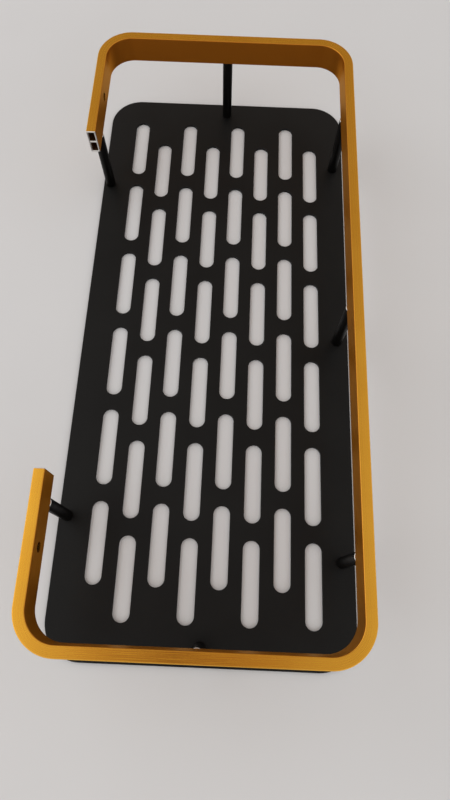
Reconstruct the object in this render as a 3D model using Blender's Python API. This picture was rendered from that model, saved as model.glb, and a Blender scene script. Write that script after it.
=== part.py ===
"""Wall shelf: a slotted tray plate that hangs on posts below a bent guard rail.

Metres, +Z up. X runs along the tray, +Y points to the wall, and the origin is
at the middle of the tray's underside.
"""

import math

import bmesh
import bpy
from mathutils import Matrix

# Tray plate: flat sheet with rounded corners
PLATE_LENGTH = 0.300
PLATE_WIDTH = 0.1312
PLATE_THICKNESS = 0.0015
PLATE_CORNER_RADIUS = 0.0164

# Drain slots: round-ended, in columns that step to and fro along the tray
SLOT_LENGTH = 0.036
SLOT_WIDTH = 0.0074
SLOT_COLUMN_PITCH = 0.0136
SLOT_ROW_PITCH = 0.0435
SLOT_STAGGER = 0.0147
SLOT_LAND = 0.0025

# Guard rail: flat hollow bar with two stacked cells, bent flat side out, open at the wall
RAIL_FRONT_INSET = 0.0033
RAIL_BACK_INSET = 0.0016
RAIL_END_INSET = 0.0054
RAIL_LIFT = 0.0351
RAIL_HEIGHT = 0.0127
RAIL_CELL_WIDTH = 0.0028
RAIL_WALL = 0.0008
RAIL_RIB = 0.001
RAIL_EDGE_ROUND = 0.0004
RAIL_CORNER_RADIUS = 0.0164
RAIL_BACK_ARM = 0.0484

# Wall fixing holes, drilled through the back arms
WALL_HOLE_DIAMETER = 0.004
WALL_HOLE_SETBACK = 0.0282

# Posts: sleeves between the tray and the rail
POST_WALL = 0.0007
BACK_POST_SETBACK = 0.0108
FRONT_POST_TO_BEND = 0.0222

# Countersunk screws, driven up through the tray and the posts into the rail
SCREW_DIAMETER = 0.003
SCREW_CORE_DIAMETER = 0.002
SCREW_HEAD_DIAMETER = 0.0055
SCREW_TIP_GAP = 0.0007
RECESS_SPAN = 0.0026
RECESS_WIDTH = 0.0007
RECESS_DEPTH = 0.0009

# Clearance between pieces that touch, and how far a cutter runs past a face
SEAT_GAP = 0.0003
CUT_PAST = 0.002

# Facets in a full turn, a rail bend, a slot end, a plate corner and a rail edge
ROUND_STEPS = 24
BEND_STEPS = 10
SLOT_END_STEPS = 8
PLATE_CORNER_STEPS = 10
EDGE_ROUND_STEPS = 2

# Rail section, and where its centre line and its bends lie
RAIL_THICKNESS = RAIL_CELL_WIDTH + 2 * RAIL_WALL
RAIL_CELL_HEIGHT = (RAIL_HEIGHT - 2 * RAIL_WALL - RAIL_RIB) / 2
RAIL_BOTTOM = PLATE_THICKNESS + RAIL_LIFT
RAIL_MIDDLE = RAIL_BOTTOM + RAIL_HEIGHT / 2
RAIL_END_X = PLATE_LENGTH / 2 - RAIL_END_INSET - RAIL_THICKNESS / 2
RAIL_FRONT_Y = RAIL_FRONT_INSET + RAIL_THICKNESS / 2 - PLATE_WIDTH / 2
RAIL_BACK_Y = PLATE_WIDTH / 2 - RAIL_BACK_INSET - RAIL_THICKNESS / 2
BEND_RADIUS = RAIL_CORNER_RADIUS - RAIL_THICKNESS / 2
BEND_X = RAIL_END_X - BEND_RADIUS
BEND_FRONT_Y = RAIL_FRONT_Y + BEND_RADIUS
BEND_BACK_Y = RAIL_BACK_Y - BEND_RADIUS
ARM_END_X = BEND_X - RAIL_BACK_ARM

# Screw, sleeve and hole sizes that fit each other
SHANK_HOLE_DIAMETER = SCREW_DIAMETER + 2 * SEAT_GAP
POST_DIAMETER = SHANK_HOLE_DIAMETER + 2 * POST_WALL
HEAD_DEPTH = (SCREW_HEAD_DIAMETER - SCREW_DIAMETER) / 2
COUNTERSINK_RADIUS = SCREW_HEAD_DIAMETER / 2 + SEAT_GAP
RAIL_HOLE_RADIUS = SCREW_CORE_DIAMETER / 2 + SEAT_GAP
SHANK_TOP = RAIL_BOTTOM - SEAT_GAP
SCREW_TOP = RAIL_BOTTOM + RAIL_WALL + RAIL_CELL_HEIGHT - SCREW_TIP_GAP

# Post places, named as seen from the front
FRONT_POST_X = BEND_X - FRONT_POST_TO_BEND
BACK_POST_X = ARM_END_X + BACK_POST_SETBACK
POST_PLACES = {
    "front_left": (-FRONT_POST_X, RAIL_FRONT_Y),
    "front_centre": (0.0, RAIL_FRONT_Y),
    "front_right": (FRONT_POST_X, RAIL_FRONT_Y),
    "left_end": (-RAIL_END_X, 0.0),
    "right_end": (RAIL_END_X, 0.0),
    "back_left": (-BACK_POST_X, RAIL_BACK_Y),
    "back_right": (BACK_POST_X, RAIL_BACK_Y),
}


def principled(name, colour, roughness, metallic):
    """One plain surface finish."""
    material = bpy.data.materials.new(name)
    material.use_nodes = True
    shader = material.node_tree.nodes["Principled BSDF"]
    shader.inputs["Base Color"].default_value = (*colour, 1.0)
    shader.inputs["Roughness"].default_value = roughness
    shader.inputs["Metallic"].default_value = metallic
    return material


def finished_mesh(name, bm, material=None):
    """Close the bmesh into a mesh whose faces point out and whose curves look round."""
    bmesh.ops.recalc_face_normals(bm, faces=bm.faces)
    mesh = bpy.data.meshes.new(name)
    bm.to_mesh(mesh)
    bm.free()
    mesh.shade_smooth()
    mesh.set_sharp_from_angle(angle=math.radians(30))
    if material:
        mesh.materials.append(material)
    return mesh


def placed(name, mesh, location=(0.0, 0.0, 0.0)):
    """A named piece of the shelf, carried by the shelf's own empty."""
    piece = bpy.data.objects.new(name, mesh)
    piece.location = location
    piece.parent = shelf
    bpy.context.collection.objects.link(piece)
    return piece


def cut(piece, cutter):
    """Take the cutter's shape out of a piece."""
    cutter.hide_render = True
    cutter.display_type = "WIRE"
    boolean = piece.modifiers.new(cutter.name, "BOOLEAN")
    boolean.operation = "DIFFERENCE"
    boolean.solver = "EXACT"
    boolean.object = cutter


def rounded_outline(length, width, radius, steps):
    """Points round a rectangle with arcs at its corners, counter-clockwise from its right side."""
    points = []
    for quarter, (side_x, side_y) in enumerate(((1, 1), (-1, 1), (-1, -1), (1, -1))):
        middle_x = side_x * (length / 2 - radius)
        middle_y = side_y * (width / 2 - radius)
        for step in range(steps + 1):
            turn = (quarter + step / steps) * math.pi / 2
            points.append((middle_x + radius * math.cos(turn), middle_y + radius * math.sin(turn)))
    return points


def prism(bm, outline, centre, bottom, top):
    """Stand an outline up between two heights."""
    corners = [bm.verts.new((centre[0] + x, centre[1] + y, bottom)) for x, y in outline]
    bmesh.ops.remove_doubles(bm, verts=corners, dist=1e-7)
    base = bm.faces.new([corner for corner in corners if corner.is_valid])
    raised = bmesh.ops.extrude_face_region(bm, geom=[base], use_keep_orig=True)["geom"]
    lifted = [item for item in raised if isinstance(item, bmesh.types.BMVert)]
    bmesh.ops.translate(bm, verts=lifted, vec=(0.0, 0.0, top - bottom))


def turn_profile(bm, profile, closed, centre=(0.0, 0.0)):
    """Turn (radius, height) points about an upright axis: closed makes a sleeve, open a solid."""
    points = [bm.verts.new((centre[0] + radius, centre[1], height)) for radius, height in profile]
    following = points[1:] + points[:1] if closed else points[1:]
    edges = [bm.edges.new(pair) for pair in zip(points, following)]
    bmesh.ops.spin(
        bm,
        geom=points + edges,
        cent=(*centre, 0.0),
        axis=(0.0, 0.0, 1.0),
        angle=math.tau,
        steps=ROUND_STEPS,
        use_merge=True,
    )
    if not closed:
        bmesh.ops.holes_fill(bm, edges=bm.edges)


def slot_places():
    """Slot centres: as many as the plate holds clear of the screws, every other column stepped."""
    clear_x = RAIL_END_X - COUNTERSINK_RADIUS - SLOT_LAND
    clear_y = min(-RAIL_FRONT_Y, RAIL_BACK_Y) - COUNTERSINK_RADIUS - SLOT_LAND
    columns = int((2 * clear_y - SLOT_WIDTH) / SLOT_COLUMN_PITCH) + 1
    rows = int((2 * clear_x - SLOT_LENGTH - SLOT_STAGGER) / SLOT_ROW_PITCH) + 1
    for column in range(columns):
        y = ((columns - 1) / 2 - column) * SLOT_COLUMN_PITCH
        step = SLOT_STAGGER / 2 if column % 2 == 0 else -SLOT_STAGGER / 2
        for row in range(rows):
            yield (row - (rows - 1) / 2) * SLOT_ROW_PITCH + step, y


def slot_cutter():
    """All the drain slots as upright round-ended bars."""
    bm = bmesh.new()
    outline = rounded_outline(SLOT_LENGTH, SLOT_WIDTH, SLOT_WIDTH / 2, SLOT_END_STEPS // 2)
    for centre in slot_places():
        prism(bm, outline, centre, -CUT_PAST, PLATE_THICKNESS + CUT_PAST)
    return placed("slot_cutter", finished_mesh("slot_cutter", bm))


def countersink_cutter():
    """A countersunk hole below each post."""
    hole_radius = SHANK_HOLE_DIAMETER / 2
    profile = (
        (COUNTERSINK_RADIUS, -CUT_PAST),
        (COUNTERSINK_RADIUS, 0.0),
        (hole_radius, HEAD_DEPTH),
        (hole_radius, PLATE_THICKNESS + CUT_PAST),
    )
    bm = bmesh.new()
    for centre in POST_PLACES.values():
        turn_profile(bm, profile, closed=False, centre=centre)
    return placed("countersink_cutter", finished_mesh("countersink_cutter", bm))


def tray_plate():
    """Flat sheet, slotted, with countersunk holes in its underside."""
    bm = bmesh.new()
    outline = rounded_outline(PLATE_LENGTH, PLATE_WIDTH, PLATE_CORNER_RADIUS, PLATE_CORNER_STEPS)
    prism(bm, outline, (0.0, 0.0), 0.0, PLATE_THICKNESS)
    black = principled("matte_black_sheet", (0.018, 0.017, 0.016), 0.6, 0.0)
    plate = placed("tray_plate", finished_mesh("tray_plate", bm, black))
    cut(plate, slot_cutter())
    cut(plate, countersink_cutter())


def rail_section(bm):
    """The rail's cut end: the outer edge and the two cells, as loops of edges across X."""
    cell_rise = (RAIL_CELL_HEIGHT + RAIL_RIB) / 2
    outer = rounded_outline(RAIL_THICKNESS, RAIL_HEIGHT, RAIL_EDGE_ROUND, EDGE_ROUND_STEPS)
    half_width = RAIL_CELL_WIDTH / 2
    half_height = RAIL_CELL_HEIGHT / 2
    cell = ((half_width, half_height), (-half_width, half_height), (-half_width, -half_height),
            (half_width, -half_height))
    edges = []
    for loop, rise in ((outer, 0.0), (cell, cell_rise), (cell, -cell_rise)):
        corners = [bm.verts.new((ARM_END_X, RAIL_BACK_Y + y, RAIL_MIDDLE + rise + z)) for y, z in loop]
        edges += [bm.edges.new(pair) for pair in zip(corners, corners[1:] + corners[:1])]
    return edges


def run_straight(bm, edges, travel):
    """Draw the section along a straight run and give its far end."""
    drawn = bmesh.ops.extrude_edge_only(bm, edges=edges)["geom"]
    moved = [item for item in drawn if isinstance(item, bmesh.types.BMVert)]
    bmesh.ops.translate(bm, verts=moved, vec=(*travel, 0.0))
    return [item for item in drawn if isinstance(item, bmesh.types.BMEdge)
            and item.verts[0] in moved and item.verts[1] in moved]


def run_bend(bm, edges, centre):
    """Bend the section a quarter turn round a corner and give its far end."""
    bent = bmesh.ops.spin(
        bm,
        geom=edges,
        cent=(*centre, 0.0),
        axis=(0.0, 0.0, 1.0),
        angle=-math.pi / 2,
        steps=BEND_STEPS,
    )["geom_last"]
    return [item for item in bent if isinstance(item, bmesh.types.BMEdge)]


def rail_hole_cutter():
    """Screw holes up into the rail's lower cell, and the wall holes through the back arms."""
    bm = bmesh.new()
    hole = ((RAIL_HOLE_RADIUS, RAIL_BOTTOM - CUT_PAST), (RAIL_HOLE_RADIUS, RAIL_BOTTOM + 2 * RAIL_WALL))
    for centre in POST_PLACES.values():
        turn_profile(bm, hole, closed=False, centre=centre)
    for side in (-1, 1):
        bmesh.ops.create_cone(
            bm,
            cap_ends=True,
            segments=ROUND_STEPS,
            radius1=WALL_HOLE_DIAMETER / 2,
            radius2=WALL_HOLE_DIAMETER / 2,
            depth=RAIL_THICKNESS + 2 * CUT_PAST,
            matrix=Matrix.Translation((side * (ARM_END_X + WALL_HOLE_SETBACK), RAIL_BACK_Y, RAIL_MIDDLE))
            @ Matrix.Rotation(math.pi / 2, 4, "X"),
        )
    return placed("rail_hole_cutter", finished_mesh("rail_hole_cutter", bm))


def guard_rail():
    """Hollow bar drawn from one back arm round the tray to the other, with both ends open."""
    bm = bmesh.new()
    first_end = rail_section(bm)
    edges = run_straight(bm, first_end, (RAIL_BACK_ARM, 0.0))
    edges = run_bend(bm, edges, (BEND_X, BEND_BACK_Y))
    edges = run_straight(bm, edges, (0.0, BEND_FRONT_Y - BEND_BACK_Y))
    edges = run_bend(bm, edges, (BEND_X, BEND_FRONT_Y))
    edges = run_straight(bm, edges, (-2 * BEND_X, 0.0))
    edges = run_bend(bm, edges, (-BEND_X, BEND_FRONT_Y))
    edges = run_straight(bm, edges, (0.0, BEND_BACK_Y - BEND_FRONT_Y))
    edges = run_bend(bm, edges, (-BEND_X, BEND_BACK_Y))
    last_end = run_straight(bm, edges, (RAIL_BACK_ARM, 0.0))
    for end in (first_end, last_end):
        bmesh.ops.triangle_fill(bm, edges=end, use_beauty=True)
    gold = principled("gold_anodised_rail", (0.55, 0.28, 0.04), 0.38, 0.9)
    rail = placed("guard_rail", finished_mesh("guard_rail", bm, gold))
    cut(rail, rail_hole_cutter())


def posts():
    """A black sleeve at each place, standing on the tray below the rail."""
    bore = SHANK_HOLE_DIAMETER / 2
    outside = POST_DIAMETER / 2
    height = RAIL_LIFT - 2 * SEAT_GAP
    bm = bmesh.new()
    turn_profile(bm, ((outside, 0.0), (outside, height), (bore, height), (bore, 0.0)), closed=True)
    black = principled("black_sleeve", (0.012, 0.012, 0.012), 0.45, 0.0)
    mesh = finished_mesh("post", bm, black)
    for place, (x, y) in POST_PLACES.items():
        placed("post_" + place, mesh, (x, y, PLATE_THICKNESS + SEAT_GAP))


def cross_outline(span, width):
    """Points round a cross of four equal arms, a quarter turn at a time."""
    points = [(span / 2, -width / 2), (span / 2, width / 2), (width / 2, width / 2)]
    for _ in range(3):
        points += [(-y, x) for x, y in points[-3:]]
    return points


def recess_mesh():
    """The cross recess that is cut into a screw head."""
    bm = bmesh.new()
    prism(bm, cross_outline(RECESS_SPAN, RECESS_WIDTH), (0.0, 0.0), -CUT_PAST, RECESS_DEPTH)
    return finished_mesh("recess", bm)


def screws():
    """A countersunk screw up each post, its head flush with the tray's underside."""
    head = SCREW_HEAD_DIAMETER / 2
    shank = SCREW_DIAMETER / 2
    core = SCREW_CORE_DIAMETER / 2
    profile = (
        (head, 0.0),
        (shank, HEAD_DEPTH),
        (shank, SHANK_TOP),
        (core, SHANK_TOP),
        (core, SCREW_TOP),
    )
    bm = bmesh.new()
    turn_profile(bm, profile, closed=False)
    steel = principled("screw_steel", (0.42, 0.41, 0.40), 0.35, 1.0)
    mesh = finished_mesh("screw", bm, steel)
    cross = recess_mesh()
    for place, (x, y) in POST_PLACES.items():
        screw = placed("screw_" + place, mesh, (x, y, 0.0))
        cut(screw, placed("recess_cutter_" + place, cross, (x, y, 0.0)))


for leftover in list(bpy.data.objects):
    bpy.data.objects.remove(leftover, do_unlink=True)

shelf = bpy.data.objects.new("shelf", None)
bpy.context.collection.objects.link(shelf)

tray_plate()
guard_rail()
posts()
screws()
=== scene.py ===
import math

import bmesh
import bpy
from mathutils import Matrix, Vector


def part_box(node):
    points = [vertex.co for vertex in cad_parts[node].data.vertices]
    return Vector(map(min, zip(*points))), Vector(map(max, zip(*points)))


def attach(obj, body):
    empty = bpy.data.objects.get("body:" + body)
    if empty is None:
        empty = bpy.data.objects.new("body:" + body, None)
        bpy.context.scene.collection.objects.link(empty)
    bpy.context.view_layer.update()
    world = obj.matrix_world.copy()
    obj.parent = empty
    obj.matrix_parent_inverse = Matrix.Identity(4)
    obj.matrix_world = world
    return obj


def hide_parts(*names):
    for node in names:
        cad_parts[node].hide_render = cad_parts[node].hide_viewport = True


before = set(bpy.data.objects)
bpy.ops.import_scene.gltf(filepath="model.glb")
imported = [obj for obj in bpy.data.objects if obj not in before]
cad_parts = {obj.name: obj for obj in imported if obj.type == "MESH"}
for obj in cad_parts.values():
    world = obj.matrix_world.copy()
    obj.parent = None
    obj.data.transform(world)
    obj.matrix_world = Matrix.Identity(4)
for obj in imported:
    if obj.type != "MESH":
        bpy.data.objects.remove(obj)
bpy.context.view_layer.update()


# Tray plate
# A flat aluminium sheet, punched with eight columns of round-ended drain slots that step to
# and fro, then powder coated matte black. Its screw holes are countersunk from beneath.
plate_low, plate_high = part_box("tray_plate")
plate_length, plate_width, plate_thickness = plate_high - plate_low
plate_corner_radius = 0.0164
plate_corner_steps = 16
plate_rim_round = 0.0003
plate_rim_steps = 3
plate_rim_angle = math.radians(30)

slot_length = 0.036
slot_width = 0.0074
slot_columns = 8
slot_rows = 6
slot_column_pitch = 0.0136
slot_row_pitch = 0.0435
slot_stagger = 0.0147
slot_round_steps = 10

shank_hole_radius = 0.0018
shank_hole_steps = 40
countersink_radius = 0.00305
countersink_depth = 0.00125

coat_black = (0.0028, 0.0027, 0.0027)
coat_charcoal = (0.0044, 0.0042, 0.0040)
dust_grey = (0.030, 0.029, 0.028)

x_way = Vector((1, 0, 0))
y_way = Vector((0, 1, 0))
z_way = Vector((0, 0, 1))
tolerance = 1e-6
crease_angle = math.radians(40)

post_places = {}
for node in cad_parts:
    if node.startswith("post_"):
        post_low, post_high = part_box(node)
        post_places[node.removeprefix("post_")] = (post_low + post_high) / 2


def draw_line(bm, tip, travel):
    """Draw a straight edge on from the tip, and give the new tip."""
    drawn = bmesh.ops.extrude_vert_indiv(bm, verts=[tip])["verts"]
    bmesh.ops.translate(bm, verts=drawn, vec=travel)
    return drawn[0]


def draw_arc(bm, tip, centre, axis, angle, steps):
    """Draw an arc on from the tip about a centre, and give the new tip."""
    drawn = bmesh.ops.spin(bm, geom=[tip], cent=centre, axis=axis, angle=angle, steps=steps)
    return next(part for part in drawn["geom_last"] if isinstance(part, bmesh.types.BMVert))


def draw_rounded_outline(bm, centre, along, inward, length, width, radius, steps):
    """Draw a closed outline of straight sides joined by quarter rounds."""
    axis = along.cross(inward)
    tip = bm.verts.new(centre + along * (radius - length / 2) - inward * width / 2)
    for side in (length, width, length, width):
        straight = side - 2 * radius
        if straight > tolerance:
            tip = draw_line(bm, tip, along * straight)
        tip = draw_arc(bm, tip, tip.co + inward * radius, axis, math.pi / 2, steps)
        along, inward = inward, -along
    bmesh.ops.remove_doubles(bm, verts=bm.verts, dist=tolerance)


def press_down(bm, faces, depth):
    """Extrude faces straight down, and give the faces at the new depth."""
    pressed = bmesh.ops.extrude_face_region(bm, geom=faces)["geom"]
    lowered = [part for part in pressed if isinstance(part, bmesh.types.BMVert)]
    bmesh.ops.translate(bm, verts=lowered, vec=(0, 0, -depth))
    return [part for part in pressed if isinstance(part, bmesh.types.BMFace)]


def shelf_piece(name, bm, finishes, nodes):
    """Close a bmesh into a piece of the shelf that wears these finishes in place of its CAD nodes."""
    bmesh.ops.remove_doubles(bm, verts=bm.verts, dist=tolerance)
    bmesh.ops.recalc_face_normals(bm, faces=bm.faces)
    if bm.calc_volume(signed=True) < 0:
        bmesh.ops.reverse_faces(bm, faces=bm.faces)
    mesh = bpy.data.meshes.new(name)
    bm.to_mesh(mesh)
    bm.free()
    mesh.shade_smooth()
    mesh.set_sharp_from_angle(angle=crease_angle)
    for finish in finishes:
        mesh.materials.append(finish)
    piece = bpy.data.objects.new(name, mesh)
    bpy.context.collection.objects.link(piece)
    even_shading = piece.modifiers.new("even_shading", "WEIGHTED_NORMAL")
    even_shading.keep_sharp = True
    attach(piece, "root")
    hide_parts(*nodes)


plate_bm = bmesh.new()
plate_middle = Vector((0, 0, plate_high.z))
draw_rounded_outline(
    plate_bm, plate_middle, x_way, y_way, plate_length, plate_width, plate_corner_radius, plate_corner_steps
)
for column in range(slot_columns):
    slot_y = ((slot_columns - 1) / 2 - column) * slot_column_pitch
    slot_step = slot_stagger / 2 if column % 2 == 0 else -slot_stagger / 2
    for row in range(slot_rows):
        slot_x = (row - (slot_rows - 1) / 2) * slot_row_pitch + slot_step
        slot_middle = Vector((slot_x, slot_y, plate_high.z))
        draw_rounded_outline(
            plate_bm, slot_middle, x_way, y_way, slot_length, slot_width, slot_width / 2, slot_round_steps
        )
for place in post_places.values():
    hole_place = Matrix.Translation((place.x, place.y, plate_high.z))
    bmesh.ops.create_circle(
        plate_bm, segments=shank_hole_steps, radius=shank_hole_radius, matrix=hole_place
    )
plate_top = bmesh.ops.triangle_fill(plate_bm, edges=plate_bm.edges, use_beauty=True)["geom"]
plate_top = [part for part in plate_top if isinstance(part, bmesh.types.BMFace)]
neck_faces = press_down(plate_bm, plate_top, plate_thickness - countersink_depth)
under_faces = press_down(plate_bm, neck_faces, countersink_depth)
# The second extrusion leaves the first one's lower faces inside the sheet.
bmesh.ops.delete(plate_bm, geom=neck_faces, context="FACES")
under_verts = {vert for face in under_faces for vert in face.verts}
widening = countersink_radius / shank_hole_radius
for place in post_places.values():
    hole_centre = Vector((place.x, place.y, plate_low.z))
    rim = [vert for vert in under_verts if (vert.co - hole_centre).length < countersink_radius]
    bmesh.ops.scale(
        plate_bm, verts=rim, vec=(widening, widening, 1), space=Matrix.Translation(-hole_centre)
    )
bmesh.ops.recalc_face_normals(plate_bm, faces=plate_bm.faces)
plate_rims = []
for edge in plate_bm.edges:
    heights = [vert.co.z for vert in edge.verts]
    on_a_face = max(heights) < plate_low.z + tolerance or min(heights) > plate_high.z - tolerance
    if on_a_face and edge.calc_face_angle() > plate_rim_angle:
        plate_rims.append(edge)
bmesh.ops.bevel(
    plate_bm,
    geom=plate_rims,
    offset=plate_rim_round,
    segments=plate_rim_steps,
    profile=0.5,
    affect="EDGES",
    material=-1,
)


def new_finish(name):
    """A node finish to fill in: the material, its node tree and its shader."""
    finish = bpy.data.materials.new(name)
    finish.use_nodes = True
    return finish, finish.node_tree, finish.node_tree.nodes["Principled BSDF"]


def piece_coordinates(tree):
    """Places on the piece itself, in metres."""
    return tree.nodes.new("ShaderNodeTexCoord").outputs["Object"]


def cloudy(tree, coordinates, scale, detail):
    """A soft random pattern with so many patches to a metre."""
    noise = tree.nodes.new("ShaderNodeTexNoise")
    noise.inputs["Scale"].default_value = scale
    noise.inputs["Detail"].default_value = detail
    tree.links.new(coordinates, noise.inputs["Vector"])
    return noise.outputs["Fac"]


def value_from(tree, pattern, span, values):
    """Turn one span of a pattern into another span of values."""
    remap = tree.nodes.new("ShaderNodeMapRange")
    tree.links.new(pattern, remap.inputs["Value"])
    remap.inputs["From Min"].default_value = span[0]
    remap.inputs["From Max"].default_value = span[1]
    remap.inputs["To Min"].default_value = values[0]
    remap.inputs["To Max"].default_value = values[1]
    return remap.outputs["Result"]


def blend_colours(tree, pattern, first, second):
    """Mix two colours by a pattern. Each is a colour or the output of another mix."""
    mix = tree.nodes.new("ShaderNodeMix")
    mix.data_type = "RGBA"
    tree.links.new(pattern, mix.inputs["Factor"])
    for socket, colour in ((mix.inputs[6], first), (mix.inputs[7], second)):
        if isinstance(colour, tuple):
            socket.default_value = (*colour, 1)
        else:
            tree.links.new(colour, socket)
    return mix.outputs[2]


def raised(tree, height, depth, strength):
    """Surface relief from a height pattern."""
    bump = tree.nodes.new("ShaderNodeBump")
    bump.inputs["Distance"].default_value = depth
    bump.inputs["Strength"].default_value = strength
    tree.links.new(height, bump.inputs["Height"])
    return bump.outputs["Normal"]


matte_black, tree, shader = new_finish("matte_black_powder_coat")
coords = piece_coordinates(tree)
mottling = value_from(tree, cloudy(tree, coords, scale=28, detail=3), span=(0.35, 0.65), values=(0, 1))
coat_colour = blend_colours(tree, mottling, coat_black, coat_charcoal)
dust = value_from(tree, cloudy(tree, coords, scale=1400, detail=2), span=(0.70, 0.76), values=(0, 0.35))
coat_colour = blend_colours(tree, dust, coat_colour, dust_grey)
coat_relief = raised(tree, cloudy(tree, coords, scale=1700, detail=2), depth=0.00008, strength=0.35)
coat_roughness = value_from(tree, mottling, span=(0, 1), values=(0.42, 0.50))
tree.links.new(coat_colour, shader.inputs["Base Color"])
tree.links.new(coat_roughness, shader.inputs["Roughness"])
tree.links.new(coat_relief, shader.inputs["Normal"])
shader.inputs["Specular IOR Level"].default_value = 0.19

shelf_piece("tray_sheet", plate_bm, [matte_black], ["tray_plate"])


# Posts
# Seven straight sleeves cut from thin black tube. They stand on the tray and carry the guard
# rail, and their cut upper ends show beside the narrower rail: bare on all but the right end's.
post_wall = 0.0007
post_chamfer = 0.0002
post_seat_gap = 0.00002
post_steps = 48
upward = 0.5
coated_post = "right_end"
rail_low, rail_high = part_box("guard_rail")

sleeve_black = (0.0014, 0.0012, 0.0011)
sleeve_rubbed = (0.0028, 0.0023, 0.0019)
sawn_grey = (0.52, 0.50, 0.47)
sawn_bright = (0.82, 0.80, 0.77)

satin_black, tree, shader = new_finish("satin_black_sleeve")
coords = piece_coordinates(tree)
handling = value_from(tree, cloudy(tree, coords, scale=160, detail=3), span=(0.35, 0.65), values=(0, 1))
sleeve_relief = raised(tree, cloudy(tree, coords, scale=1900, detail=2), depth=0.00006, strength=0.25)
sleeve_roughness = value_from(tree, handling, span=(0, 1), values=(0.36, 0.46))
tree.links.new(blend_colours(tree, handling, sleeve_black, sleeve_rubbed), shader.inputs["Base Color"])
tree.links.new(sleeve_roughness, shader.inputs["Roughness"])
tree.links.new(sleeve_relief, shader.inputs["Normal"])
shader.inputs["Specular IOR Level"].default_value = 0.08

bare_metal, tree, shader = new_finish("bare_cut_aluminium")
saw_marks = cloudy(tree, piece_coordinates(tree), scale=1500, detail=3)
sawn_roughness = value_from(tree, saw_marks, span=(0.3, 0.7), values=(0.30, 0.48))
tree.links.new(blend_colours(tree, saw_marks, sawn_grey, sawn_bright), shader.inputs["Base Color"])
tree.links.new(sawn_roughness, shader.inputs["Roughness"])
tree.links.new(raised(tree, saw_marks, depth=0.00005, strength=0.3), shader.inputs["Normal"])
shader.inputs["Metallic"].default_value = 1.0

post_finishes = [satin_black, bare_metal]


def turn_outline(bm, points, centre, closed, steps):
    """Turn (radius, height) points about an upright axis: closed for a sleeve, open for a bar."""
    start = bm.verts.new((centre.x + points[0][0], centre.y, points[0][1]))
    tip = start
    for before, after in zip(points, points[1:]):
        tip = draw_line(bm, tip, (after[0] - before[0], 0, after[1] - before[1]))
    if closed:
        bm.edges.new((tip, start))
    bmesh.ops.spin(
        bm,
        geom=[*bm.verts, *bm.edges],
        cent=(centre.x, centre.y, 0),
        axis=(0, 0, 1),
        angle=math.tau,
        steps=steps,
        use_merge=True,
    )


for name, place in post_places.items():
    post_low, post_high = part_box("post_" + name)
    outside = (post_high.x - post_low.x) / 2
    bore = outside - post_wall
    foot = plate_high.z + post_seat_gap
    head = rail_low.z - post_seat_gap
    sleeve_outline = [
        (outside - post_chamfer, foot),
        (outside, foot + post_chamfer),
        (outside, head - post_chamfer),
        (outside - post_chamfer, head),
        (bore, head),
        (bore, foot),
    ]
    post_bm = bmesh.new()
    turn_outline(post_bm, sleeve_outline, place, closed=True, steps=post_steps)
    bmesh.ops.recalc_face_normals(post_bm, faces=post_bm.faces)
    for face in post_bm.faces:
        if face.normal.z > upward and name != coated_post:
            face.material_index = post_finishes.index(bare_metal)
    shelf_piece("sleeve_" + name, post_bm, post_finishes, ["post_" + name])


# Guard rail
# One flat hollow aluminium bar with two stacked cells, bent at four corners round the tray and
# anodised gold. Both ends are sawn off bare at the wall, beside a hole for a wall screw.
rail_thickness = 0.0044
rail_wall = 0.0008
rail_rib = 0.001
rail_edge_round = 0.0004
rail_edge_steps = 5
rail_cell_round = 0.0002
rail_cell_steps = 3
rail_burr = 0.00025
rail_corner_radius = 0.0164
rail_bend_steps = 28
rail_back_arm = 0.0484
rail_hole_radius = 0.0013
rail_hole_steps = 40
rail_drill_depth = 4 * rail_wall
wall_hole_radius = 0.002
wall_hole_steps = 48
wall_hole_setback = 0.0282
wall_drill_depth = 2 * rail_thickness

rail_height = rail_high.z - rail_low.z
rail_middle_z = (rail_low.z + rail_high.z) / 2
rail_cell_width = rail_thickness - 2 * rail_wall
rail_cell_height = (rail_height - 2 * rail_wall - rail_rib) / 2
rail_cell_rise = (rail_cell_height + rail_rib) / 2
rail_end_x = rail_high.x - rail_thickness / 2
rail_front_y = rail_low.y + rail_thickness / 2
rail_back_y = rail_high.y - rail_thickness / 2
bend_radius = rail_corner_radius - rail_thickness / 2
bend_x = rail_end_x - bend_radius
bend_front_y = rail_front_y + bend_radius
bend_back_y = rail_back_y - bend_radius
arm_end_x = bend_x - rail_back_arm

dye_gold = (0.73, 0.366, 0.038)
dye_pale_gold = (0.78, 0.405, 0.045)
drawn_gold = (0.62, 0.28, 0.028)
# Painted highlight and wear: a paler gold for the rounded edges.
rubbed_and_highlight_gold = (0.80, 0.46, 0.10)
# Painted shade: a deeper gold for the faces turned to the tray.
inside_shade_gold = (0.48, 0.158, 0.015)
# Painted shade: dark colours for the inside of the hollow cells.
cell_shade_brown = (0.055, 0.022, 0.008)
cell_shade_dull_gold = (0.11, 0.045, 0.012)

draw_mark_stretch = (0.012, 0.012, 0.0)
edge_pale_begins = 0.0005
edge_pale_full = 0.0001
inside_begins = 0.0003
inside_full = 0.0001
sawn_face_tilt = 0.3


def run_straight(bm, edges, travel):
    """Draw the rail's section along a straight run, and give its far end."""
    drawn = bmesh.ops.extrude_edge_only(bm, edges=edges)["geom"]
    moved = {part for part in drawn if isinstance(part, bmesh.types.BMVert)}
    bmesh.ops.translate(bm, verts=list(moved), vec=travel)
    drawn_edges = [part for part in drawn if isinstance(part, bmesh.types.BMEdge)]
    return [edge for edge in drawn_edges if moved.issuperset(edge.verts)]


def run_bend(bm, edges, centre):
    """Bend the rail's section a quarter turn round a corner, and give its far end."""
    drawn = bmesh.ops.spin(
        bm, geom=edges, cent=centre, axis=(0, 0, 1), angle=-math.pi / 2, steps=rail_bend_steps
    )
    return [part for part in drawn["geom_last"] if isinstance(part, bmesh.types.BMEdge)]


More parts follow.
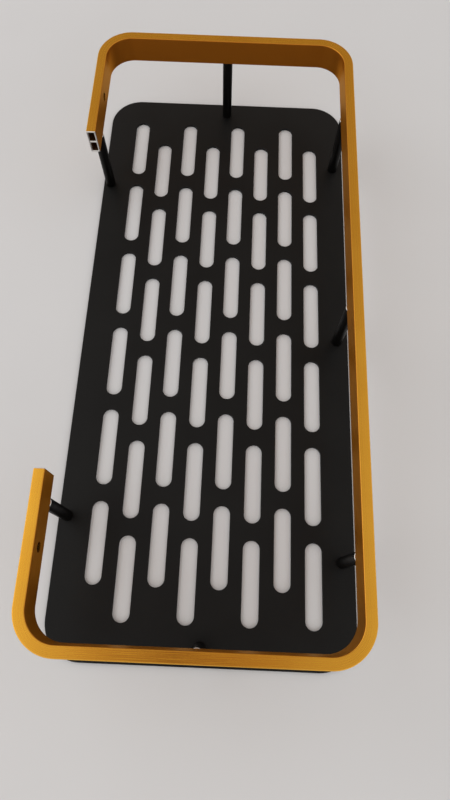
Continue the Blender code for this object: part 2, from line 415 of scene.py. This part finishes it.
def file_rims(bm, end, side):
    """Thin the walls at a sawn end, where a file took the sharp rims off."""
    rims = {vert for edge in end for vert in edge.verts}
    for rise, width, height, filed in (
        (-rail_cell_rise, rail_cell_width, rail_cell_height, rail_burr),
        (rail_cell_rise, rail_cell_width, rail_cell_height, rail_burr),
        (0, rail_thickness, rail_height, -rail_burr),
    ):
        middle = Vector((side * arm_end_x, rail_back_y, rail_middle_z + rise))
        loop = [vert for vert in rims if abs(vert.co.z - middle.z) < height / 2 + tolerance]
        loop = [vert for vert in loop if abs(vert.co.y - middle.y) < width / 2 + tolerance]
        rims.difference_update(loop)
        wider = (1, 1 + 2 * filed / width, 1 + 2 * filed / height)
        bmesh.ops.scale(bm, verts=loop, vec=wider, space=Matrix.Translation(-middle))


def drilled(bm, drill_bm):
    """The bmesh with the drills' shapes cut out of it."""
    blanks = []
    for name, shape in (("blank", bm), ("drills", drill_bm)):
        bmesh.ops.recalc_face_normals(shape, faces=shape.faces)
        mesh = bpy.data.meshes.new(name)
        shape.to_mesh(mesh)
        shape.free()
        blanks.append(bpy.data.objects.new(name, mesh))
        bpy.context.collection.objects.link(blanks[-1])
    blank, drills = blanks
    cut = blank.modifiers.new("cut", "BOOLEAN")
    cut.operation = "DIFFERENCE"
    cut.solver = "EXACT"
    cut.object = drills
    cut_blank = blank.evaluated_get(bpy.context.evaluated_depsgraph_get())
    cut_mesh = bpy.data.meshes.new_from_object(cut_blank)
    for used in blanks:
        bpy.data.objects.remove(used)
    cut_bm = bmesh.new()
    cut_bm.from_mesh(cut_mesh)
    bpy.data.meshes.remove(cut_mesh)
    return cut_bm


def off_centre_line(place):
    """How far a place on the rail lies outside the rail's centre line."""
    past_x = max(abs(place.x) - bend_x, 0)
    past_y = max(bend_front_y - place.y, place.y - bend_back_y, 0)
    return math.hypot(past_x, past_y) - bend_radius


rail_bm = bmesh.new()
section_middle = Vector((arm_end_x, rail_back_y, rail_middle_z))
draw_rounded_outline(
    rail_bm, section_middle, y_way, z_way, rail_thickness, rail_height, rail_edge_round, rail_edge_steps
)
for rise in (-rail_cell_rise, rail_cell_rise):
    draw_rounded_outline(
        rail_bm,
        section_middle + z_way * rise,
        y_way,
        z_way,
        rail_cell_width,
        rail_cell_height,
        rail_cell_round,
        rail_cell_steps,
    )
# From the right arm's sawn end round the right end, the front and the left end to the left arm's.
first_end = list(rail_bm.edges)
edges = run_straight(rail_bm, first_end, (rail_burr, 0, 0))
edges = run_straight(rail_bm, edges, (rail_back_arm - rail_burr, 0, 0))
edges = run_bend(rail_bm, edges, (bend_x, bend_back_y, 0))
edges = run_straight(rail_bm, edges, (0, bend_front_y - bend_back_y, 0))
edges = run_bend(rail_bm, edges, (bend_x, bend_front_y, 0))
edges = run_straight(rail_bm, edges, (-2 * bend_x, 0, 0))
edges = run_bend(rail_bm, edges, (-bend_x, bend_front_y, 0))
edges = run_straight(rail_bm, edges, (0, bend_back_y - bend_front_y, 0))
edges = run_bend(rail_bm, edges, (-bend_x, bend_back_y, 0))
edges = run_straight(rail_bm, edges, (rail_back_arm - rail_burr, 0, 0))
last_end = run_straight(rail_bm, edges, (rail_burr, 0, 0))
for end, side in ((first_end, 1), (last_end, -1)):
    file_rims(rail_bm, end, side)
    bmesh.ops.triangle_fill(rail_bm, edges=end, use_beauty=True)

drill_bm = bmesh.new()
for place in post_places.values():
    bmesh.ops.create_cone(
        drill_bm,
        cap_ends=True,
        segments=rail_hole_steps,
        radius1=rail_hole_radius,
        radius2=rail_hole_radius,
        depth=rail_drill_depth,
        matrix=Matrix.Translation((place.x, place.y, rail_low.z)),
    )
for side in (-1, 1):
    wall_hole = Vector((side * (arm_end_x + wall_hole_setback), rail_back_y, rail_middle_z))
    bmesh.ops.create_cone(
        drill_bm,
        cap_ends=True,
        segments=wall_hole_steps,
        radius1=wall_hole_radius,
        radius2=wall_hole_radius,
        depth=wall_drill_depth,
        matrix=Matrix.Translation(wall_hole) @ Matrix.Rotation(math.pi / 2, 4, "X"),
    )
rail_bm = drilled(rail_bm, drill_bm)


def combine(tree, operation, first, second):
    """Join two patterns by one step of arithmetic."""
    step = tree.nodes.new("ShaderNodeMath")
    step.operation = operation
    tree.links.new(first, step.inputs[0])
    tree.links.new(second, step.inputs[1])
    return step.outputs["Value"]


gold, tree, shader = new_finish("gold_anodised_rail")
coords = piece_coordinates(tree)
across_rail = tree.nodes.new("ShaderNodeAttribute")
across_rail.attribute_name = "section"
# The draw marks are fine across the bar and long along it.
stretched = tree.nodes.new("ShaderNodeVectorMath")
stretched.operation = "MULTIPLY_ADD"
stretched.inputs[1].default_value = draw_mark_stretch
tree.links.new(coords, stretched.inputs[0])
tree.links.new(across_rail.outputs["Vector"], stretched.inputs[2])
draw_marks = cloudy(tree, stretched.outputs["Vector"], scale=5200, detail=3)
dye = value_from(tree, cloudy(tree, coords, scale=45, detail=3), span=(0.35, 0.65), values=(0, 1))
gold_colour = blend_colours(tree, dye, dye_gold, dye_pale_gold)
dark_marks = value_from(tree, draw_marks, span=(0.35, 0.75), values=(0, 0.40))
gold_colour = blend_colours(tree, dark_marks, gold_colour, drawn_gold)
section_place = tree.nodes.new("ShaderNodeSeparateXYZ")
tree.links.new(across_rail.outputs["Vector"], section_place.inputs["Vector"])
# The gold is painted paler where two faces of the bar meet: partly rubbed wear, partly a painted highlight
# along the rounded edges.
near_faces = []
for output, half_size in (("X", rail_thickness / 2), ("Y", rail_height / 2)):
    from_middle = tree.nodes.new("ShaderNodeMath")
    from_middle.operation = "ABSOLUTE"
    tree.links.new(section_place.outputs[output], from_middle.inputs[0])
    edge_pale_span = (half_size - edge_pale_begins, half_size - edge_pale_full)
    near_faces.append(value_from(tree, from_middle.outputs["Value"], span=edge_pale_span, values=(0, 1)))
edge_wear_and_highlight = value_from(tree, combine(tree, "MULTIPLY", *near_faces), span=(0, 1), values=(0, 0.45))
gold_colour = blend_colours(tree, edge_wear_and_highlight, gold_colour, rubbed_and_highlight_gold)
# The faces turned to the tray are painted a deeper gold, as painted shade and a painted reflection of the
# dark tray, and they are duller.
inside_span = (inside_begins - rail_thickness / 2, inside_full - rail_thickness / 2)
inside = value_from(tree, section_place.outputs["X"], span=inside_span, values=(0, 1))
gold_colour = blend_colours(tree, inside, gold_colour, inside_shade_gold)
mark_roughness = value_from(tree, draw_marks, span=(0.3, 0.7), values=(0.19, 0.31))
inside_roughness = value_from(tree, inside, span=(0, 1), values=(0, 0.20))
gold_roughness = combine(tree, "ADD", mark_roughness, inside_roughness)
tree.links.new(gold_colour, shader.inputs["Base Color"])
tree.links.new(gold_roughness, shader.inputs["Roughness"])
tree.links.new(raised(tree, draw_marks, depth=0.00002, strength=0.06), shader.inputs["Normal"])
shader.inputs["Metallic"].default_value = 1.0
shader.inputs["Specular Tint"].default_value = (1.0, 0.90, 0.52, 1)

# The cells' insides are painted dark brown to dull gold, as painted shade deep inside the hollow bar, with
# a random mottle.
cell_shaded_gold, tree, shader = new_finish("shaded_dull_gold_inside_cells")
coords = piece_coordinates(tree)
cell_mottle = value_from(tree, cloudy(tree, coords, scale=400, detail=3), span=(0.35, 0.65), values=(0, 1))
cell_roughness = value_from(tree, cell_mottle, span=(0, 1), values=(0.5, 0.7))
tree.links.new(blend_colours(tree, cell_mottle, cell_shade_brown, cell_shade_dull_gold), shader.inputs["Base Color"])
tree.links.new(cell_roughness, shader.inputs["Roughness"])
shader.inputs["Metallic"].default_value = 0.6

rail_finishes = [gold, bare_metal, cell_shaded_gold]
section = rail_bm.verts.layers.float_vector.new("section")
for vert in rail_bm.verts:
    vert[section] = (off_centre_line(vert.co), vert.co.z - rail_middle_z, 0)
for face in rail_bm.faces:
    middle = face.calc_center_median()
    at_an_end = abs(middle.x) < arm_end_x + rail_burr and middle.y > 0
    across_cells = abs(off_centre_line(middle)) < rail_cell_width / 2 + tolerance
    within_cells = abs(middle.z - rail_middle_z) < rail_height / 2 - rail_wall + tolerance
    if at_an_end and abs(face.normal.x) > sawn_face_tilt:
        face.material_index = rail_finishes.index(bare_metal)
    elif across_cells and within_cells:
        face.material_index = rail_finishes.index(cell_shaded_gold)

shelf_piece("rail_bar", rail_bm, rail_finishes, ["guard_rail"])


# Screws
# Seven zinc-plated countersunk screws with cross recesses. Each goes up through the tray and a
# sleeve into the rail's lower cell, and its head lies flush with the tray's underside.
screw_head_radius = 0.00275
screw_head_rim = 0.0001
screw_shank_radius = 0.0015
screw_shoulder_gap = 0.0003
screw_core_radius = 0.001
screw_tip_chamfer = 0.0003
screw_steps = 40
recess_span = 0.0026
recess_width = 0.0007
recess_depth = 0.0009
recess_narrowing = 0.7
recess_arms = 4

zinc_grey = (0.36, 0.36, 0.35)
zinc_bright = (0.60, 0.60, 0.58)

zinc, tree, shader = new_finish("zinc_plated_steel")
plating = cloudy(tree, piece_coordinates(tree), scale=900, detail=4)
zinc_roughness = value_from(tree, plating, span=(0.3, 0.7), values=(0.26, 0.42))
tree.links.new(blend_colours(tree, plating, zinc_grey, zinc_bright), shader.inputs["Base Color"])
tree.links.new(zinc_roughness, shader.inputs["Roughness"])
tree.links.new(raised(tree, plating, depth=0.00003, strength=0.2), shader.inputs["Normal"])
shader.inputs["Metallic"].default_value = 1.0

recess_arm_length = (recess_span - recess_width) / 2
head_depth = screw_head_radius - screw_shank_radius
shank_top = rail_low.z - screw_shoulder_gap
for name, place in post_places.items():
    screw_low, screw_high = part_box("screw_" + name)
    screw_outline = [
        (screw_head_radius, screw_low.z),
        (screw_head_radius, screw_low.z + screw_head_rim),
        (screw_shank_radius, screw_low.z + head_depth),
        (screw_shank_radius, shank_top),
        (screw_core_radius, shank_top),
        (screw_core_radius, screw_high.z - screw_tip_chamfer),
        (screw_core_radius - screw_tip_chamfer, screw_high.z),
    ]
    screw_bm = bmesh.new()
    turn_outline(screw_bm, screw_outline, place, closed=False, steps=screw_steps)
    head_top = screw_low.z + tolerance
    tip_top = screw_high.z - tolerance
    head_rim = [edge for edge in screw_bm.edges if max(vert.co.z for vert in edge.verts) < head_top]
    tip_rim = [edge for edge in screw_bm.edges if min(vert.co.z for vert in edge.verts) > tip_top]
    bmesh.ops.edgeloop_fill(screw_bm, edges=tip_rim)
    # The cross is drawn arm by arm on the head, then pressed in and narrowed towards its floor.
    tip = screw_bm.verts.new((place.x + recess_span / 2, place.y - recess_width / 2, screw_low.z))
    way = y_way
    for _ in range(recess_arms):
        inward = Vector((-way.y, way.x, 0))
        for travel in (way * recess_width, inward * recess_arm_length, way * recess_arm_length):
            tip = draw_line(screw_bm, tip, travel)
        way = inward
    bmesh.ops.remove_doubles(screw_bm, verts=screw_bm.verts, dist=tolerance)
    recess = [edge for edge in screw_bm.edges if not edge.link_faces]
    recess = [edge for edge in recess if max(vert.co.z for vert in edge.verts) < head_top]
    bmesh.ops.triangle_fill(screw_bm, edges=head_rim + recess, use_beauty=True)
    walls = bmesh.ops.extrude_edge_only(screw_bm, edges=recess)["geom"]
    floor_verts = [part for part in walls if isinstance(part, bmesh.types.BMVert)]
    bmesh.ops.translate(screw_bm, verts=floor_verts, vec=(0, 0, recess_depth))
    bmesh.ops.scale(
        screw_bm,
        verts=floor_verts,
        vec=(recess_narrowing, recess_narrowing, 1),
        space=Matrix.Translation((-place.x, -place.y, 0)),
    )
    floor_edges = [edge for edge in screw_bm.edges if set(edge.verts) <= set(floor_verts)]
    bmesh.ops.edgeloop_fill(screw_bm, edges=floor_edges)
    shelf_piece("countersunk_" + name, screw_bm, [zinc], ["screw_" + name])


# Table and light
# A plain pale matt table top below the shelf, lit softly from both long sides and most from the
# wall side, in a dim warm room with a darker patch overhead.
table_radius = 6.0
table_steps = 96
table_gap = 0.0001
table_pale = (0.655, 0.655, 0.668)
table_paler = (0.680, 0.680, 0.693)
room_dim = (0.46, 0.37, 0.31)
room_bright = (1.09, 1.11, 1.10)
overhead_way = Vector((-0.11, 0.07, 0.99)).normalized()
light_place = Vector((0.05, 1.25, 1.0))

table_bm = bmesh.new()
bmesh.ops.create_circle(table_bm, cap_ends=True, segments=table_steps, radius=table_radius)
bmesh.ops.translate(table_bm, verts=table_bm.verts, vec=(0, 0, plate_low.z - table_gap))
table_mesh = bpy.data.meshes.new("table_top")
table_bm.to_mesh(table_mesh)
table_bm.free()
table_top = bpy.data.objects.new("table_top", table_mesh)
bpy.context.collection.objects.link(table_top)

pale_table, tree, shader = new_finish("pale_table")
coords = piece_coordinates(tree)
clouds = value_from(tree, cloudy(tree, coords, scale=9, detail=2), span=(0.3, 0.7), values=(0, 1))
tree.links.new(blend_colours(tree, clouds, table_pale, table_paler), shader.inputs["Base Color"])
shader.inputs["Roughness"].default_value = 0.6
shader.inputs["Specular IOR Level"].default_value = 0.2
table_mesh.materials.append(pale_table)

room = bpy.data.worlds.new("room")
room.use_nodes = True
tree = room.node_tree
directions = tree.nodes.new("ShaderNodeTexCoord").outputs["Generated"]
ways = tree.nodes.new("ShaderNodeSeparateXYZ")
tree.links.new(directions, ways.inputs["Vector"])
room_light = None
# Each side of the room: its axis, where along it the side begins and is full, and its strength.
for axis, begins, full, strength in (
    ("Y", 0.05, 0.45, 0.85),
    ("Y", 0.0, -0.40, 0.70),
    ("X", -0.20, -0.60, 0.25),
    ("X", 0.25, 0.75, -0.37),
):
    side_light = value_from(tree, ways.outputs[axis], span=(begins, full), values=(0, strength))
    side_light.node.interpolation_type = "SMOOTHSTEP"
    room_light = side_light if room_light is None else combine(tree, "ADD", room_light, side_light)
room_colour = blend_colours(tree, room_light, room_dim, room_bright)
overhead = tree.nodes.new("ShaderNodeVectorMath")
overhead.operation = "DOT_PRODUCT"
overhead.inputs[1].default_value = overhead_way
tree.links.new(directions, overhead.inputs[0])
# The patch overhead and its dark middle: the cosines where each begins and is full, and its colour.
for begins, full, patch_colour in (
    (0.980, 0.993, (0.62, 0.35, 0.31)),
    (0.9930, 0.9985, (0.02, 0.0, 0.01)),
):
    patch = value_from(tree, overhead.outputs["Value"], span=(begins, full), values=(0, 1))
    room_colour = blend_colours(tree, patch, room_colour, patch_colour)
tree.links.new(room_colour, tree.nodes["Background"].inputs["Color"])

lamp = bpy.data.lights.new("window_light", "AREA")
lamp.size = 1.8
lamp.energy = 6.0
lamp.color = (0.97, 0.99, 1.0)
light = bpy.data.objects.new("window_light", lamp)
light_turn = (-light_place).to_track_quat("-Z", "Y").to_matrix()
light.matrix_world = Matrix.Translation(light_place) @ light_turn.to_4x4()
bpy.context.collection.objects.link(light)
bpy.context.scene.world = room
bpy.context.scene.view_settings.view_transform = "Standard"


# Camera
# Held above the shelf's left end and looking along it, with the wall side to the picture's left.
# Its place and turn are fitted to the edges of the plate, the slots and the rail.
camera_place = Vector((-0.12468, -0.00753, 0.25977))
camera_right = Vector((0.04105, -0.99912, 0.00879))
camera_up = Vector((0.94151, 0.04162, 0.33441))
camera_back = Vector((-0.33448, -0.00545, 0.94239))
camera_turn = Matrix((camera_right, camera_up, camera_back)).transposed()

camera_data = bpy.data.cameras.new("camera")
camera_data.sensor_width = 36.0
camera_data.lens = 25.794
camera = bpy.data.objects.new("camera", camera_data)
camera.matrix_world = Matrix.Translation(camera_place) @ camera_turn.to_4x4()
bpy.context.collection.objects.link(camera)
bpy.context.scene.camera = camera
